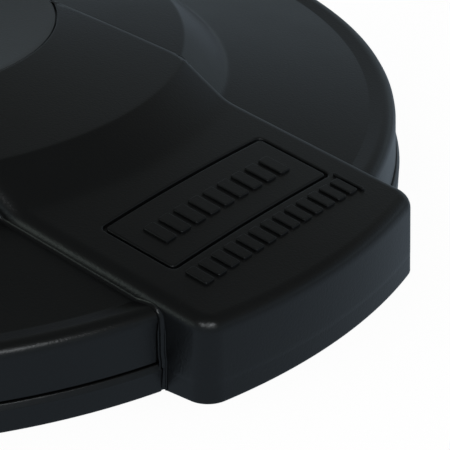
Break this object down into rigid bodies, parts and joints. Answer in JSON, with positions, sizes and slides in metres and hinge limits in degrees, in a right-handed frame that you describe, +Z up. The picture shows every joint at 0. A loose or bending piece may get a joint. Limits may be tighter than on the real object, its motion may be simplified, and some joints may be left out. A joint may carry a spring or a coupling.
{
  "type": "waste container lid",
  "caption": "Round domed lid for a large waste container: a rim ring, a lift-off cover, grip handles with straps, inlaid plates and a dished centre cap.",
  "frame": {"origin": "on the lid's axis, at the level that the rim ring stands on", "axes": "+Z up along the lid's axis, -Y towards the front handle, +X to the right seen from the front handle"},
  "size_m": [0.5698, 0.618, 0.0863],
  "materials": {
    "ring_plastic": "satin black moulded plastic",
    "cover_plastic": "satin black moulded plastic",
    "handle_plastic": "satin black moulded plastic",
    "plate_plastic": "satin black moulded plastic",
    "cap_plastic": "satin charcoal moulded plastic",
    "screw_steel": "zinc plated"
  },
  "bodies": {
    "ring": {"rim_ring": "ring_plastic"},
    "cover": {"cover_shell": "cover_plastic", "front_handle": "handle_plastic", "rear_handle": "handle_plastic", "front_label_plate": "plate_plastic", "rear_label_plate": "plate_plastic", "centre_cap": "cap_plastic", "handle_screws": "screw_steel", "cap_screw": "screw_steel"}
  },
  "joints": [
    {"name": "cover_lift", "type": "slide", "parent": "ring", "child": "cover", "axis": [0, 0, 1], "range_m": [0, 0.12]}
  ]
}
